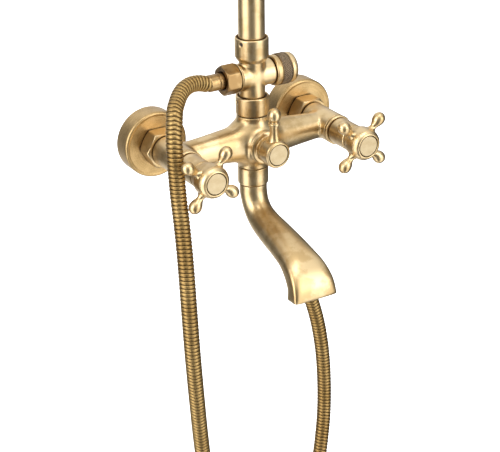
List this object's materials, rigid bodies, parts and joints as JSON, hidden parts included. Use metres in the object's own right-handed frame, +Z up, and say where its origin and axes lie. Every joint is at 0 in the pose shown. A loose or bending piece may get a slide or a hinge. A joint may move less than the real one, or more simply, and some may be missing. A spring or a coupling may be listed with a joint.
{
  "type": "rainfall shower column",
  "caption": "Wall-mounted brass shower column: mixer with cross handles, swivel tub spout, diverter tee with metal hose, telescopic riser, rain head and hand shower.",
  "frame": {"origin": "Midway between the two wall inlets, on the wall plane.", "axes": "+Z up along the riser, +Y into the wall, so -Y faces the user and +X is on the user's right when facing the wall."},
  "size_m": [0.2151, 0.483, 1.5407],
  "materials": {
    "antique_brass": "brushed antique brass, satin clear coat",
    "dark_hose_brass": "aged brass, darker between the hose's rings",
    "plain_brass": "machined, unplated",
    "steel": "zinc plated",
    "black_rubber": "moulded rubber",
    "pale_plastic": "moulded plastic"
  },
  "bodies": {
    "fixed": {"mixer_body": "antique_brass", "hot_wall_flange": "antique_brass", "cold_wall_flange": "antique_brass", "hot_wall_union": "plain_brass", "cold_wall_union": "plain_brass", "hot_union_nut": "antique_brass", "cold_union_nut": "antique_brass", "union_washers": "black_rubber", "hot_bonnet": "antique_brass", "cold_bonnet": "antique_brass", "hot_cartridge": "pale_plastic", "cold_cartridge": "pale_plastic", "diverter_base_ring": "antique_brass", "diverter_cartridge": "pale_plastic", "spout_collar": "antique_brass", "lower_slip_nut": "antique_brass", "upper_slip_nut": "antique_brass", "slip_nut_screws": "steel", "tee_body": "antique_brass", "hose_nut": "dark_hose_brass", "hose_washer": "black_rubber", "hose_ferrule": "dark_hose_brass", "shower_hose": "dark_hose_brass", "lower_riser": "antique_brass", "riser_guide_bush": "pale_plastic", "height_collar": "antique_brass", "bracket_plate": "steel", "bracket_screws": "steel", "bracket_flange": "antique_brass", "bracket_arm": "antique_brass"},
    "hot_handle_turn": {"hot_handle": "antique_brass", "hot_index_disc": "antique_brass", "hot_handle_screw": "plain_brass", "hot_spindle": "plain_brass"},
    "cold_handle_turn": {"cold_handle": "antique_brass", "cold_index_disc": "antique_brass", "cold_handle_screw": "plain_brass", "cold_spindle": "plain_brass"},
    "diverter_turn": {"diverter_lever": "antique_brass", "diverter_cap": "antique_brass", "diverter_spindle": "plain_brass"},
    "spout_swing": {"spout": "antique_brass", "spout_o_rings": "black_rubber", "spout_aerator": "pale_plastic"},
    "tee_knob_turn": {"tee_knob": "antique_brass", "tee_stem": "plain_brass"},
    "height_lock": {"height_lock_screw": "antique_brass"},
    "riser_lift": {"tube_seals": "black_rubber"},
    "arm": {"gooseneck_tube": "antique_brass", "rain_ball_stud": "plain_brass"},
    "rain_seat": {"rain_seat_ring": "pale_plastic"},
    "rain_head": {"rain_nut": "antique_brass", "rain_head_shell": "antique_brass", "rain_nozzles": "black_rubber"},
    "slider": {"slider_sleeve": "antique_brass"},
    "slider_lock": {"slider_lock_knob": "antique_brass"},
    "hand_set": {"hand_cradle": "antique_brass", "hand_shower": "antique_brass", "hand_spray_face": "pale_plastic", "hose_end_nut": "dark_hose_brass"}
  },
  "joints": [
    {"name": "hot_handle_hinge", "type": "hinge", "parent": "fixed", "child": "hot_handle_turn", "pos_m": [-0.075, -0.11, 0], "axis": [0, -1, 0], "range_deg": [0, 90]},
    {"name": "cold_handle_hinge", "type": "hinge", "parent": "fixed", "child": "cold_handle_turn", "pos_m": [0.075, -0.11, 0], "axis": [0, -1, 0], "range_deg": [-90, 0]},
    {"name": "diverter_hinge", "type": "hinge", "parent": "fixed", "child": "diverter_turn", "pos_m": [0, -0.088, 0], "axis": [0, -1, 0], "range_deg": [-90, 90]},
    {"name": "spout_swivel", "type": "hinge", "parent": "fixed", "child": "spout_swing", "pos_m": [0, -0.053, -0.04], "axis": [0, 0, 1], "range_deg": [-35, 60]},
    {"name": "tee_knob_hinge", "type": "hinge", "parent": "fixed", "child": "tee_knob_turn", "pos_m": [0.035, -0.053, 0.0595], "axis": [1, 0, 0], "range_deg": [0, 180]},
    {"name": "height_lock_hinge", "type": "hinge", "parent": "fixed", "child": "height_lock", "pos_m": [0.02, -0.053, 0.666], "axis": [1, 0, 0], "range_deg": [-180, 180]},
    {"name": "riser_slide", "type": "slide", "parent": "fixed", "child": "riser_lift", "axis": [0, 0, 1], "range_m": [-0.12, 0.12]},
    {"name": "arm_swivel", "type": "hinge", "parent": "riser_lift", "child": "arm", "pos_m": [0, -0.053, 0.42], "axis": [0, 0, 1], "range_deg": [-60, 60]},
    {"name": "rain_head_tilt", "type": "hinge", "parent": "arm", "child": "rain_seat", "pos_m": [0, -0.353, 0.989], "axis": [1, 0, 0], "range_deg": [-15, 15]},
    {"name": "rain_head_spin", "type": "hinge", "parent": "rain_seat", "child": "rain_head", "pos_m": [0, -0.353, 0.989], "axis": [0, 0, 1], "continuous": true},
    {"name": "slider_slide", "type": "slide", "parent": "fixed", "child": "slider", "axis": [0, 0, 1], "range_m": [-0.06, 0.08], "deforming": ["shower_hose"]},
    {"name": "slider_lock_hinge", "type": "hinge", "parent": "slider", "child": "slider_lock", "pos_m": [-0.025, -0.053, 0.4], "axis": [1, 0, 0], "range_deg": [-90, 90]},
    {"name": "cradle_tilt", "type": "hinge", "parent": "slider", "child": "hand_set", "pos_m": [0.03, -0.053, 0.4], "axis": [1, 0, 0], "range_deg": [-12, 12], "deforming": ["shower_hose"]}
  ]
}
